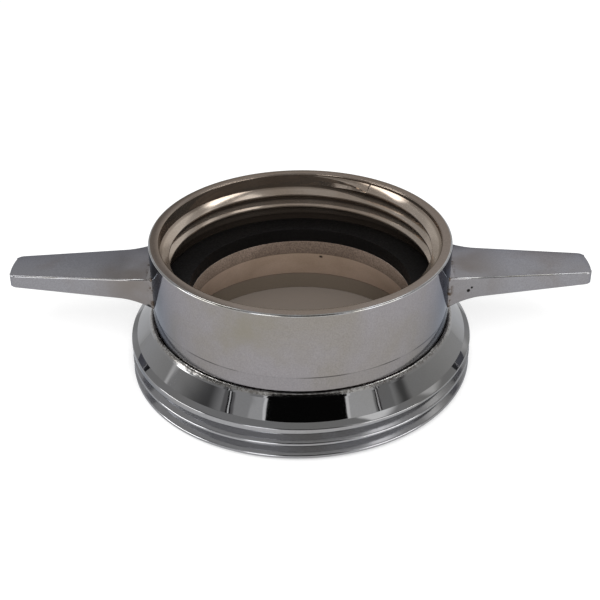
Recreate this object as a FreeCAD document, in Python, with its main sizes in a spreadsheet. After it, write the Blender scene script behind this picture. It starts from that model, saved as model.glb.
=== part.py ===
"""Fire hose adapter: a long-handled female swivel collar that turns on a male threaded body.

Frame: the origin is on the waterway's axis, in the plane of the male end. +Z points up through the
female mouth and +X runs along the handles. Lengths are in millimetres and angles in degrees.

Pieces, as they come apart on a bench:
  adapter_body   casting with the waterway, the neck cone and the male thread
  swivel_collar  casting with both handles and the female thread, which turns on the body's sleeve
  gasket         rubber washer that lies in the collar, over the body's upper face
  race_balls     steel balls that hold the collar on the sleeve and let it turn
  ball_plug      screw plug in the hole through which the balls are loaded
"""

import FreeCAD, Part
import math
import os
import Sketcher

from FreeCAD import Placement, Rotation, Vector

os.makedirs("parts", exist_ok=True)
doc = FreeCAD.newDocument("fire_hose_adapter")


# Driving sizes
SIZES = {
    # Both threads: four turns to the inch, with flanks at 30 degrees to the plane across the axis
    "thread_pitch": 6.35,
    "thread_flank_angle": 30.0,
    # Male end and flange
    "male_major_dia": 159.0,
    "male_thread_depth": 3.7,
    "male_root_flat": 0.9,
    "male_groove_drop": 2.87,
    "male_groove_end_angle": 10.0,
    "male_runout_angle": 36.0,
    "male_end_chamfer": 1.0,
    "flange_height": 16.4,
    "flange_bevel_width": 2.7,
    "flange_bevel_height": 1.6,
    # Neck cone, and the shoulder under the collar
    "cone_top_dia": 142.0,
    "cone_height": 7.0,
    "shoulder_dia": 139.8,
    "shoulder_rise": 1.6,
    # Waterway through the body
    "outlet_dia": 117.0,
    "outlet_straight": 8.8,
    "sleeve_wall": 8.7,
    "throat_step": 0.5,
    "throat_drop": 6.7,
    # Collar ring, from its lower edge up
    "skirt_gap": 0.7,
    "skirt_height": 4.9,
    "collar_height": 37.0,
    "collar_wall": 4.75,
    "collar_rim_chamfer": 0.7,
    "collar_lower_chamfer": 0.8,
    # Female thread
    "female_root_dia": 127.9,
    "female_thread_depth": 4.12,
    "female_crest_flat": 0.8,
    "female_start_drop": 3.8,
    "female_start_angle": 90.0,
    "female_entry_angle": 33.0,
    "female_end_gap": 0.6,
    # Gasket, its pocket and the ledge under it
    "gasket_ledge": 3.95,
    "gasket_thickness": 6.35,
    "gasket_width": 12.55,
    "gasket_radial_gap": 0.4,
    "gasket_face_gap": 0.3,
    "relief_depth": 0.5,
    "relief_height": 3.2,
    # Swivel fit and its balls
    "swivel_clearance": 0.3,
    "ball_dia": 3.175,
    "ball_count": 3.0,
    "race_seat_clearance": 0.02,
    "race_running_clearance": 0.3,
    # Loading hole and its plug
    "loading_clearance": 0.5,
    "plug_fit": 0.05,
    "plug_inset": 0.3,
    "plug_socket": 2.0,
    "plug_socket_depth": 1.6,
    "plug_angle": 112.0,
    # Handles, with heights above the collar's lower edge
    "handle_span": 266.4,
    "handle_root_width": 30.4,
    "handle_root_bottom": 10.3,
    "handle_root_top": 21.5,
    "handle_tip_width": 18.4,
    "handle_tip_bottom": 14.5,
    "handle_tip_top": 20.7,
    "handle_flare_length": 14.0,
    "handle_flare_side": 1.8,
    "handle_flare_rise": 1.4,
    "handle_flare_drop": 1.8,
    "handle_tip_radius": 2.5,
    "handle_edge_radius": 0.8,
}

sheet = doc.addObject("Spreadsheet::Sheet", "Sizes")
for row, (alias, value) in enumerate(SIZES.items(), start=1):
    sheet.set(f"A{row}", alias)
    sheet.set(f"B{row}", str(value))
    sheet.setAlias(f"B{row}", alias)
doc.recompute()


def size(alias):
    """The plain number that the sheet holds under a name."""
    return float(sheet.get(alias))


# Helpers for bodies and sketches
def new_body(name):
    """An empty piece, labelled with its node name."""
    body = doc.addObject("PartDesign::Body", name)
    body.Label = name
    return body


def origin_plane(body, role):
    """One of a piece's own three origin planes."""
    for feature in body.Origin.OriginFeatures:
        if feature.Role == role:
            return feature
    raise ValueError(f"no plane {role}")


def new_sketch(body, name, role):
    """A sketch on one of the piece's own planes."""
    sketch = body.newObject("Sketcher::SketchObject", name)
    sketch.AttachmentSupport = [(origin_plane(body, role), "")]
    sketch.MapMode = "FlatFace"
    return sketch


def place_point(sketch, edge, end, across, up):
    """Ties a point to the sketch's axes, by a formula across and a formula up."""
    for kind, axis, formula in (("DistanceX", -2, across), ("DistanceY", -1, up)):
        if formula == "0":
            sketch.addConstraint(Sketcher.Constraint("PointOnObject", edge, end, axis))
            continue
        value = sketch_value(sketch, formula)
        index = sketch.addConstraint(Sketcher.Constraint(kind, -1, 1, edge, end, value))
        sketch.setExpression(f"Constraints[{index}]", formula)


def sketch_value(sketch, formula):
    """What a formula gives with the present sizes."""
    return float(sketch.evalExpression(formula))


def polygon(sketch, corners):
    """A closed outline whose corners are pairs of formulas."""
    points = [Vector(sketch_value(sketch, across), sketch_value(sketch, up), 0) for across, up in corners]
    count = len(points)
    for index, start in enumerate(points):
        sketch.addGeometry(Part.LineSegment(start, points[(index + 1) % count]), False)
    for index in range(count):
        sketch.addConstraint(Sketcher.Constraint("Coincident", index, 2, (index + 1) % count, 1))
    for index, (across, up) in enumerate(corners):
        place_point(sketch, index, 1, across, up)


def circle(sketch, across, up, radius):
    """A full circle, with its centre and radius given by formulas."""
    centre = Vector(sketch_value(sketch, across), sketch_value(sketch, up), 0)
    edge = sketch.addGeometry(Part.Circle(centre, Vector(0, 0, 1), sketch_value(sketch, radius)), False)
    place_point(sketch, edge, 3, across, up)
    index = sketch.addConstraint(Sketcher.Constraint("Radius", edge, sketch_value(sketch, radius)))
    sketch.setExpression(f"Constraints[{index}]", radius)


def turn_sketch(sketch, formula):
    """Turns an upright sketch about the waterway's axis."""
    sketch.AttachmentOffset = Placement(Vector(), Rotation(Vector(0, 1, 0), 1))
    sketch.setExpression("AttachmentOffset.Rotation.Angle", formula)


def revolve(body, name, sketch, kind="PartDesign::Revolution"):
    """Turns a section once round the waterway's axis."""
    feature = body.newObject(kind, name)
    feature.Profile = sketch
    feature.ReferenceAxis = (sketch, ["V_Axis"])
    feature.Angle = 360
    return feature


def helix(body, name, sketch, kind, turns):
    """Runs a section up the axis along a right-hand screw line."""
    feature = body.newObject(kind, name)
    feature.Profile = sketch
    feature.ReferenceAxis = (sketch, ["V_Axis"])
    feature.Mode = "pitch-turns-angle"
    feature.setExpression("Pitch", "Sizes.thread_pitch")
    feature.setExpression("Turns", turns)
    return feature


def loft(body, name, sections):
    """A form through several sections."""
    feature = body.newObject("PartDesign::AdditiveLoft", name)
    feature.Profile = sections[0]
    feature.Sections = sections[1:]
    doc.recompute()
    return feature


def mirror_across_handles(body, name, features):
    """Copies features to the other side of the plane across the handles."""
    copy = body.newObject("PartDesign::Mirrored", name)
    copy.Originals = features
    copy.MirrorPlane = (origin_plane(body, "YZ_Plane"), [""])
    body.Tip = copy
    return copy


def edges_where(feature, test):
    """Names of a feature's edges that pass a test."""
    return [f"Edge{index}" for index, edge in enumerate(feature.Shape.Edges, start=1) if test(edge)]


def fillet(body, name, feature, test, radius):
    """Rounds those edges of a feature that pass a test."""
    rounded = body.newObject("PartDesign::Fillet", name)
    rounded.Base = (feature, edges_where(feature, test))
    rounded.setExpression("Radius", radius)
    return rounded


# Heights and radii that more than one piece uses
SHOULDER_TOP = (
    "(Sizes.flange_height + Sizes.flange_bevel_height + Sizes.cone_height + Sizes.shoulder_rise)"
)
COLLAR_BOTTOM = f"({SHOULDER_TOP} + Sizes.skirt_gap)"
COLLAR_TOP = f"({COLLAR_BOTTOM} + Sizes.collar_height)"
GASKET_SEAT = f"({COLLAR_BOTTOM} + Sizes.skirt_height)"
GASKET_TOP = f"({GASKET_SEAT} + Sizes.gasket_thickness)"
COLLAR_RADIUS = "(Sizes.female_root_dia / 2 + Sizes.collar_wall)"
RELIEF_RADIUS = "(Sizes.female_root_dia / 2 + Sizes.relief_depth)"
SKIRT_RADIUS = f"({RELIEF_RADIUS} - Sizes.gasket_ledge)"
SLEEVE_RADIUS = f"({SKIRT_RADIUS} - Sizes.swivel_clearance)"
INLET_RADIUS = f"({SLEEVE_RADIUS} - Sizes.sleeve_wall)"

# The race lies half-way up the skirt, and half in the sleeve and half in the collar.
RACE_HEIGHT = f"(({COLLAR_BOTTOM} + {GASKET_SEAT}) / 2)"
RACE_RADIUS = f"(({SLEEVE_RADIUS} + {SKIRT_RADIUS}) / 2)"
LOADING_HOLE_DIA = "(Sizes.ball_dia + Sizes.loading_clearance)"


def race_octagon(sketch, clearance):
    """The eight-sided section of the race, which the ball touches from inside but for a clearance."""
    far = f"(Sizes.ball_dia / 2 + {clearance})"
    near = f"{far} * tan(22.5)"
    polygon(sketch, [
        (f"{RACE_RADIUS} {across}", f"{RACE_HEIGHT} {up}")
        for across, up in (
            (f"+ {far}", f"- {near}"), (f"+ {far}", f"+ {near}"),
            (f"+ {near}", f"+ {far}"), (f"- {near}", f"+ {far}"),
            (f"- {far}", f"+ {near}"), (f"- {far}", f"- {near}"),
            (f"- {near}", f"- {far}"), (f"+ {near}", f"- {far}"),
        )
    ])


# Adapter body
# The section holds the waterway, the flange that carries the male thread, the neck cone and the
# sleeve that the collar turns on.
FLANGE_RADIUS = "Sizes.male_major_dia / 2"
CONE_FOOT_RADIUS = f"{FLANGE_RADIUS} - Sizes.flange_bevel_width"
CONE_FOOT_HEIGHT = "Sizes.flange_height + Sizes.flange_bevel_height"
SLEEVE_TOP = f"{GASKET_SEAT} - Sizes.gasket_face_gap"

adapter_body = new_body("adapter_body")
body_section = new_sketch(adapter_body, "body_section", "XZ_Plane")
polygon(body_section, [
    ("Sizes.outlet_dia / 2", "0"),
    (FLANGE_RADIUS + " - Sizes.male_end_chamfer", "0"),
    (FLANGE_RADIUS, "Sizes.male_end_chamfer"),
    (FLANGE_RADIUS, "Sizes.flange_height"),
    (CONE_FOOT_RADIUS, CONE_FOOT_HEIGHT),
    ("Sizes.cone_top_dia / 2", CONE_FOOT_HEIGHT + " + Sizes.cone_height"),
    ("Sizes.shoulder_dia / 2", SHOULDER_TOP),
    (SLEEVE_RADIUS, SHOULDER_TOP),
    (SLEEVE_RADIUS, SLEEVE_TOP),
    (INLET_RADIUS, SLEEVE_TOP),
    (f"{INLET_RADIUS} - Sizes.throat_step", f"{SLEEVE_TOP} - Sizes.throat_drop"),
    ("Sizes.outlet_dia / 2", "Sizes.outlet_straight"),
])
revolve(adapter_body, "body_turned", body_section)
doc.recompute()

# The male thread is a groove cut up the flange. It starts below the male end, so that it opens
# there, and at its upper end it runs out through the flange's rim over part of a turn.
CUT_MARGIN = 0.5
ROOT_HALF = "Sizes.male_root_flat / 2"
OPENING_HALF = f"({ROOT_HALF} + (Sizes.male_thread_depth + {CUT_MARGIN}) * tan(Sizes.thread_flank_angle))"
GROOVE_FLOOR = "Sizes.male_major_dia / 2 - Sizes.male_thread_depth"
GROOVE_MOUTH = f"Sizes.male_major_dia / 2 + {CUT_MARGIN}"
GROOVE_END = "(Sizes.flange_height - Sizes.male_groove_drop)"
GROOVE_TURNS = f"(({GROOVE_END} + {OPENING_HALF}) / Sizes.thread_pitch)"


def male_groove_sketch(name, middle, angle):
    """The groove's section, at one height and one angle round the flange."""
    sketch = new_sketch(adapter_body, name, "XZ_Plane")
    turn_sketch(sketch, angle)
    polygon(sketch, [
        (GROOVE_FLOOR, f"{middle} - {ROOT_HALF}"),
        (GROOVE_MOUTH, f"{middle} - {OPENING_HALF}"),
        (GROOVE_MOUTH, f"{middle} + {OPENING_HALF}"),
        (GROOVE_FLOOR, f"{middle} + {ROOT_HALF}"),
    ])
    return sketch


male_groove = male_groove_sketch(
    "male_groove",
    f"{GROOVE_END} - Sizes.thread_pitch * {GROOVE_TURNS}",
    f"Sizes.male_groove_end_angle - 360 * {GROOVE_TURNS}",
)
helix(adapter_body, "male_thread", male_groove, "PartDesign::SubtractiveHelix", GROOVE_TURNS)
doc.recompute()

# Over the run-out the groove's floor climbs a steep cone, until it leaves the flange.
male_runout = male_groove_sketch(
    "male_runout_groove", GROOVE_END, "Sizes.male_groove_end_angle",
)
runout = helix(
    adapter_body, "male_runout", male_runout, "PartDesign::SubtractiveHelix", "Sizes.male_runout_angle / 360",
)
runout.setExpression(
    "Angle",
    "atan(Sizes.male_thread_depth / (Sizes.thread_pitch * Sizes.male_runout_angle / 360))",
)
doc.recompute()

sleeve_race = new_sketch(adapter_body, "sleeve_race", "XZ_Plane")
race_octagon(sleeve_race, "Sizes.race_seat_clearance")
revolve(adapter_body, "sleeve_race_cut", sleeve_race, "PartDesign::Groove")
doc.recompute()


# Swivel collar
# One casting: a ring with the female thread above a pocket for the gasket, a skirt that runs on the
# body's sleeve, and two long flat handles opposite each other.
FEMALE_ROOT = "(Sizes.female_root_dia / 2)"
FEMALE_CREST = f"({FEMALE_ROOT} - Sizes.female_thread_depth)"
RELIEF_TOP = f"({GASKET_TOP} + Sizes.relief_height)"

swivel_collar = new_body("swivel_collar")
collar_section = new_sketch(swivel_collar, "collar_section", "XZ_Plane")
polygon(collar_section, [
    (SKIRT_RADIUS, COLLAR_BOTTOM),
    (COLLAR_RADIUS + " - Sizes.collar_lower_chamfer", COLLAR_BOTTOM),
    (COLLAR_RADIUS, COLLAR_BOTTOM + " + Sizes.collar_lower_chamfer"),
    (COLLAR_RADIUS, COLLAR_TOP + " - Sizes.collar_rim_chamfer"),
    (COLLAR_RADIUS + " - Sizes.collar_rim_chamfer", COLLAR_TOP),
    (FEMALE_ROOT + " + Sizes.collar_rim_chamfer", COLLAR_TOP),
    (FEMALE_ROOT, COLLAR_TOP + " - Sizes.collar_rim_chamfer"),
    (FEMALE_ROOT, RELIEF_TOP),
    (RELIEF_RADIUS, RELIEF_TOP),
    (RELIEF_RADIUS, GASKET_SEAT),
    (SKIRT_RADIUS, GASKET_SEAT),
])
revolve(swivel_collar, "collar_turned", collar_section)
doc.recompute()


# A handle tapers straight from the collar to its tip. Over the flare's length its four faces also
# curve out towards the collar, by the flare's size times the square of the share that is covered.
FLARE_START = f"({COLLAR_RADIUS} + Sizes.handle_flare_length)"
FLARED_HALF_WIDTH = "(Sizes.handle_root_width / 2 + 2 * Sizes.handle_flare_side)"
WALL_AT_CORNER = f"sqrt({COLLAR_RADIUS}^2 - {FLARED_HALF_WIDTH}^2)"
HANDLE_TIP = "(Sizes.handle_span / 2)"


def handle_section(name, distance, flared):
    """A handle's four-sided section, at one distance from the axis and with or without its flare."""
    taper = f"(({distance} - {COLLAR_RADIUS}) / ({HANDLE_TIP} - {COLLAR_RADIUS}))"
    bend = f"(({FLARE_START} - {distance}) / Sizes.handle_flare_length)^2" if flared else "0"

    def tapered(root, tip):
        return f"(Sizes.{root} + (Sizes.{tip} - Sizes.{root}) * {taper})"

    width = tapered("handle_root_width", "handle_tip_width")
    half = f"({width} / 2 + Sizes.handle_flare_side * {bend})"
    drop = tapered("handle_root_bottom", "handle_tip_bottom")
    rise = tapered("handle_root_top", "handle_tip_top")
    bottom = f"({COLLAR_BOTTOM} + {drop} - Sizes.handle_flare_drop * {bend})"
    top = f"({COLLAR_BOTTOM} + {rise} + Sizes.handle_flare_rise * {bend})"
    sketch = new_sketch(swivel_collar, name, "YZ_Plane")
    sketch.setExpression("AttachmentOffset.Base.z", distance)
    polygon(sketch, [(f"-{half}", bottom), (half, bottom), (half, top), (f"-{half}", top)])
    return sketch


# The root sections lie inside the collar's wall: their middle is clear of the thread's root, and
# their corners are under the outer face.
HANDLE_ROOT = f"(({FEMALE_ROOT} + {WALL_AT_CORNER}) / 2)"
FLARE_SHARES = (1, 0.75, 0.5, 0.25, 0)
handle = loft(swivel_collar, "handle", [
    handle_section("handle_root", HANDLE_ROOT, False),
    handle_section("handle_tip", HANDLE_TIP, False),
])
handle_flare = loft(swivel_collar, "handle_flare", [
    handle_section("flare_root", HANDLE_ROOT, True),
    *(
        handle_section(f"flare_{number}", f"({FLARE_START} - {share} * Sizes.handle_flare_length)", True)
        for number, share in enumerate(FLARE_SHARES, start=1)
    ),
])
mirror_across_handles(swivel_collar, "second_handle", [handle, handle_flare])
doc.recompute()

# The female thread is a ridge that winds down from the mouth.
WALL_OVERLAP = 0.25
CREST_HALF = "Sizes.female_crest_flat / 2"
RIDGE_HALF = f"({CREST_HALF} + (Sizes.female_thread_depth + {WALL_OVERLAP}) * tan(Sizes.thread_flank_angle))"
RIDGE_START = f"({COLLAR_TOP} - Sizes.female_start_drop)"
RIDGE_END = f"({RELIEF_TOP} + Sizes.female_end_gap + {RIDGE_HALF})"
RIDGE_TURNS = f"(({RIDGE_START} - {RIDGE_END}) / Sizes.thread_pitch)"

female_ridge = new_sketch(swivel_collar, "female_ridge", "XZ_Plane")
turn_sketch(female_ridge, f"Sizes.female_start_angle - 360 * {RIDGE_TURNS}")
polygon(female_ridge, [
    (FEMALE_CREST, f"{RIDGE_END} - {CREST_HALF}"),
    (f"{FEMALE_ROOT} + {WALL_OVERLAP}", f"{RIDGE_END} - {RIDGE_HALF}"),
    (f"{FEMALE_ROOT} + {WALL_OVERLAP}", f"{RIDGE_END} + {RIDGE_HALF}"),
    (FEMALE_CREST, f"{RIDGE_END} + {CREST_HALF}"),
])
helix(swivel_collar, "female_thread", female_ridge, "PartDesign::AdditiveHelix", RIDGE_TURNS)
doc.recompute()

# The ridge's first stretch is milled back along a circle that touches the thread's root at the
# start and meets its crest at the entry angle, so that the ridge rises in a long curve.
ENTRY_OFFSET = (
    f"(({FEMALE_ROOT}^2 - {FEMALE_CREST}^2)"
    f" / (2 * ({FEMALE_ROOT} - {FEMALE_CREST} * cos(Sizes.female_entry_angle))))"
)
ENTRY_FLOOR = f"({RIDGE_START} - Sizes.thread_pitch / 2)"
entry_circle = new_sketch(swivel_collar, "entry_circle", "XY_Plane")
entry_circle.AttachmentOffset = Placement(Vector(), Rotation(Vector(0, 0, 1), 1))
entry_circle.setExpression("AttachmentOffset.Rotation.Angle", "Sizes.female_start_angle")
entry_circle.setExpression("AttachmentOffset.Base.z", ENTRY_FLOOR)
circle(entry_circle, ENTRY_OFFSET, "0", f"{FEMALE_ROOT} - {ENTRY_OFFSET}")
thread_entry = swivel_collar.newObject("PartDesign::Pocket", "thread_entry")
thread_entry.Profile = entry_circle
thread_entry.Reversed = True
thread_entry.setExpression("Length", f"{COLLAR_TOP} - {ENTRY_FLOOR}")
doc.recompute()

collar_race = new_sketch(swivel_collar, "collar_race", "XZ_Plane")
race_octagon(collar_race, "Sizes.race_running_clearance")
revolve(swivel_collar, "collar_race_cut", collar_race, "PartDesign::Groove")
doc.recompute()

# The loading hole runs from the race out through the skirt, square to the plug's direction.
plug_hole_circle = new_sketch(swivel_collar, "plug_hole_circle", "YZ_Plane")
plug_hole_circle.AttachmentOffset = Placement(Vector(), Rotation(Vector(0, 1, 0), 1))
plug_hole_circle.setExpression("AttachmentOffset.Rotation.Angle", "Sizes.plug_angle")
circle(plug_hole_circle, "0", RACE_HEIGHT, f"{LOADING_HOLE_DIA} / 2")
plug_hole = swivel_collar.newObject("PartDesign::Pocket", "plug_hole")
plug_hole.Profile = plug_hole_circle
plug_hole.Reversed = True
plug_hole.setExpression("Length", f"{COLLAR_RADIUS} + {LOADING_HOLE_DIA}")
doc.recompute()

# Both handles get round corners at the tip, and then rounded edges all along.
EDGE_TOLERANCE = 0.01
collar_radius = size("female_root_dia") / 2 + size("collar_wall")
handle_tip_reach = size("handle_span") / 2


def at_tip_corner(edge):
    """The two upright edges at each tip."""
    ends = edge.Vertexes
    at_tip = all(abs(abs(vertex.X) - handle_tip_reach) < EDGE_TOLERANCE for vertex in ends)
    return at_tip and abs(ends[0].Y - ends[-1].Y) < EDGE_TOLERANCE


def along_handle(edge):
    """The long edges above and below, from the collar's face round the tip."""
    beyond = all(math.hypot(vertex.X, vertex.Y) > collar_radius - EDGE_TOLERANCE for vertex in edge.Vertexes)
    middle = edge.valueAt((edge.FirstParameter + edge.LastParameter) / 2)
    level = abs(edge.Vertexes[0].Z - edge.Vertexes[-1].Z) < size("handle_tip_bottom")
    upright = abs(edge.tangentAt(edge.FirstParameter).z) > 0.5
    return beyond and level and not upright and abs(middle.x) > collar_radius + EDGE_TOLERANCE


handle_tips = fillet(swivel_collar, "handle_tips", plug_hole, at_tip_corner, "Sizes.handle_tip_radius")
doc.recompute()
fillet(swivel_collar, "handle_edges", handle_tips, along_handle, "Sizes.handle_edge_radius")
doc.recompute()


# Gasket
gasket = new_body("gasket")
gasket_section = new_sketch(gasket, "gasket_section", "XZ_Plane")
GASKET_OUTER = f"{RELIEF_RADIUS} - Sizes.gasket_radial_gap"
GASKET_INNER = f"{GASKET_OUTER} - Sizes.gasket_width"
polygon(gasket_section, [
    (GASKET_INNER, GASKET_SEAT),
    (GASKET_OUTER, GASKET_SEAT),
    (GASKET_OUTER, GASKET_TOP),
    (GASKET_INNER, GASKET_TOP),
])
revolve(gasket, "gasket_turned", gasket_section)
doc.recompute()


# Race balls
balls = []
for index in range(round(size("ball_count"))):
    ball = doc.addObject("Part::Sphere", f"ball_{index + 1}")
    turn = f"(360 * {index} / Sizes.ball_count)"
    ball.setExpression("Radius", "Sizes.ball_dia / 2")
    ball.setExpression("Placement.Base.x", f"{RACE_RADIUS} * cos({turn})")
    ball.setExpression("Placement.Base.y", f"{RACE_RADIUS} * sin({turn})")
    ball.setExpression("Placement.Base.z", RACE_HEIGHT)
    balls.append(ball)
race_balls = doc.addObject("Part::Compound", "race_balls")
race_balls.Label = "race_balls"
race_balls.Links = balls
doc.recompute()


# Ball plug
# Drawn along +X and then turned to its place round the skirt, with its socket facing out.
HEX_SIDES = 6
HEX_TURN = 360 / HEX_SIDES
PLUG_INNER = f"{RACE_RADIUS} + Sizes.ball_dia / 2 + Sizes.race_running_clearance"
PLUG_OUTER = f"{COLLAR_RADIUS} - Sizes.plug_inset"
SOCKET_CORNER = f"Sizes.plug_socket / (2 * cos({HEX_TURN} / 2))"

ball_plug = new_body("ball_plug")
plug_circle = new_sketch(ball_plug, "plug_circle", "YZ_Plane")
plug_circle.setExpression("AttachmentOffset.Base.z", PLUG_INNER)
circle(plug_circle, "0", RACE_HEIGHT, f"{LOADING_HOLE_DIA} / 2 - Sizes.plug_fit")
plug_rod = ball_plug.newObject("PartDesign::Pad", "plug_rod")
plug_rod.Profile = plug_circle
plug_rod.setExpression("Length", f"{PLUG_OUTER} - ({PLUG_INNER})")
doc.recompute()
socket_outline = new_sketch(ball_plug, "socket_outline", "YZ_Plane")
socket_outline.setExpression("AttachmentOffset.Base.z", PLUG_OUTER)
polygon(socket_outline, [
    (
        f"{SOCKET_CORNER} * cos({HEX_TURN * (side + 0.5)})",
        f"{RACE_HEIGHT} + {SOCKET_CORNER} * sin({HEX_TURN * (side + 0.5)})",
    )
    for side in range(HEX_SIDES)
])
socket = ball_plug.newObject("PartDesign::Pocket", "socket")
socket.Profile = socket_outline
socket.setExpression("Length", "Sizes.plug_socket_depth")
ball_plug.Placement = Placement(Vector(), Rotation(Vector(0, 0, 1), 1))
ball_plug.setExpression("Placement.Rotation.Angle", "Sizes.plug_angle")
doc.recompute()


# Check every object, then write the pieces
for thing in doc.Objects:
    if "Invalid" in thing.State or "Error" in thing.State:
        raise RuntimeError(f"{thing.Label} failed: {thing.State}")

for piece in (adapter_body, swivel_collar, gasket, race_balls, ball_plug):
    if piece.Shape.isNull() or not piece.Shape.isValid():
        raise RuntimeError(f"{piece.Label} has no valid shape")
    piece.Shape.exportStep(f"parts/{piece.Label}.step")
    corners = piece.Shape.BoundBox
    print(
        f"{piece.Label}: {len(piece.Shape.Solids)} solids, {piece.Shape.Volume:.0f} mm3,"
        f" z {corners.ZMin:.2f} to {corners.ZMax:.2f}, x {corners.XMin:.2f} to {corners.XMax:.2f}"
    )
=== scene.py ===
# %% [markdown]
# # A chrome-plated fire hose adapter
#
# This lesson dresses a finished CAD model for a close product picture. The adapter is two brass
# castings under chrome: a body with a male thread, and a collar with a female thread and two long
# handles that turns on the body. Chrome has hardly any colour of its own. It shows its shape by what
# it reflects, so three things carry the picture: smooth meshes with true, softly broken edges, fine
# marks in the plating, and a light tent for the metal to mirror.
#
# The CAD meshes are coarse, and a mirror shows every facet. The two castings are therefore modelled
# again here with fine segments and the same sizes. The gasket, the balls and the plug stay as they
# are and only get materials.

# %% Load the frame
import math
import random

import bmesh
import bpy
from mathutils import Matrix, Vector


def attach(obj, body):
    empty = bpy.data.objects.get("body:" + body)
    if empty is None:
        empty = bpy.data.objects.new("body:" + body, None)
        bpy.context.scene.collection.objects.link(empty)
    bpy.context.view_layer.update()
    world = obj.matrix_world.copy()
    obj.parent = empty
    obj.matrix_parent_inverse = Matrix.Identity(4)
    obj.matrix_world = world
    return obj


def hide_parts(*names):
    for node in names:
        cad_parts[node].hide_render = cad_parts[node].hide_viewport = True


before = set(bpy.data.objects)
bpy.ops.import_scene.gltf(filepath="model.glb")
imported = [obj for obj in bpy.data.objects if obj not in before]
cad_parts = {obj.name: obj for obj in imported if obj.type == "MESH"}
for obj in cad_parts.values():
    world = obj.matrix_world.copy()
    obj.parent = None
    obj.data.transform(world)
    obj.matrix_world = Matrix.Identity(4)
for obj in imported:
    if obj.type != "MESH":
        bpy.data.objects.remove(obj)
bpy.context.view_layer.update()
print("CAD nodes:", sorted(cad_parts))

# %% [markdown]
# ## Sizes
#
# All sizes are the CAD model's, in millimetres, measured from the plane of the male end. They are
# turned into metres only when a point is placed. Naming them here keeps the new meshes in step with
# the construction.

# %% Sizes shared by both castings
MM = 0.001
SEGMENTS = 480
THREAD_PITCH = 6.35
FLANK_SLOPE = math.tan(math.radians(30))

MALE_RADIUS = 79.5
MALE_ROOT_RADIUS = MALE_RADIUS - 3.7
COLLAR_RADIUS = 68.7
COLLAR_BOTTOM = 27.3
COLLAR_TOP = 64.3
FEMALE_ROOT_RADIUS = 63.95
FEMALE_CREST_RADIUS = FEMALE_ROOT_RADIUS - 4.12
GASKET_SEAT = 32.2
SKIRT_RADIUS = 60.5
SLEEVE_RADIUS = 60.2
RACE_RADIUS = (SKIRT_RADIUS + SLEEVE_RADIUS) / 2
RACE_HEIGHT = (COLLAR_BOTTOM + GASKET_SEAT) / 2
BALL_RADIUS = 3.175 / 2
BORE_RADIUS, BORE_TOP = 58.5, 8.8
THROAT_RADIUS, THROAT_FOOT = 51.5, 25.2
print("flange across", 2 * MALE_RADIUS, "mm, collar across", 2 * COLLAR_RADIUS, "mm")

# %% [markdown]
# ## The camera
#
# The picture was taken from the front and above, close enough for a strong perspective. The camera
# was found by fitting the round edges and the handles' corners. It looks 26.5 degrees down and is
# rolled by less than half a degree. It aims a little above the object, and the lens is shifted down
# to bring the object to the middle of the picture.

# %% Camera
CAMERA_TILT = math.radians(26.51)
CAMERA_TURN = math.radians(0.135)
CAMERA_ROLL = math.radians(-0.39)
CAMERA_BACK = 0.4076
CAMERA_HEIGHT = 0.2844
CAMERA_LENS = 61.12
CAMERA_SHIFT = -1 / 6

camera_data = bpy.data.cameras.new("camera")
camera = bpy.data.objects.new("camera", camera_data)
bpy.context.scene.collection.objects.link(camera)
bpy.context.scene.camera = camera
camera.location = (
    CAMERA_BACK * math.sin(CAMERA_TURN), -CAMERA_BACK * math.cos(CAMERA_TURN), CAMERA_HEIGHT,
)
camera.rotation_euler = (
    Matrix.Rotation(CAMERA_TURN, 3, "Z")
    @ Matrix.Rotation(math.pi / 2 - CAMERA_TILT, 3, "X")
    @ Matrix.Rotation(CAMERA_ROLL, 3, "Z")
).to_euler()
camera_data.sensor_width = 36
camera_data.lens = CAMERA_LENS
camera_data.shift_y = CAMERA_SHIFT
camera_data.clip_start = 0.01
print("camera at", [round(value, 4) for value in camera.location])

# %% [markdown]
# ## Helpers: turning a section
#
# Nearly everything here is made on a lathe, so its mesh is one section turned about the Z axis. A
# section is drawn as a hand would draw it: one vertex, extruded from corner to corner. A corner that
# the real part has slightly rounded is drawn as a short arc, because bevelling a line before it is
# turned is exact and cheap. The Screw modifier with no rise then turns the section.

# %% Draw a section and turn it
def only(piece):
    """Selects one piece and nothing else."""
    bpy.ops.object.select_all(action="DESELECT")
    piece.select_set(True)
    bpy.context.view_layer.objects.active = piece


def rounded(corners, radii, steps=4):
    """The corners of an outline, with those that radii names replaced by arcs of that radius."""
    outline = []
    for index, corner in enumerate(corners):
        radius = radii.get(corner)
        if radius is None:
            outline.append(corner)
            continue
        here = Vector(corner)
        before = (Vector(corners[index - 1]) - here).normalized()
        after = (Vector(corners[(index + 1) % len(corners)]) - here).normalized()
        half = before.angle(after) / 2
        centre = here + (before + after).normalized() * radius / math.sin(half)
        start = (here + before * radius / math.tan(half) - centre).normalized()
        end = (here + after * radius / math.tan(half) - centre).normalized()
        for step in range(steps + 1):
            outline.append(tuple(centre + radius * start.slerp(end, step / steps)))
    return outline


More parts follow.
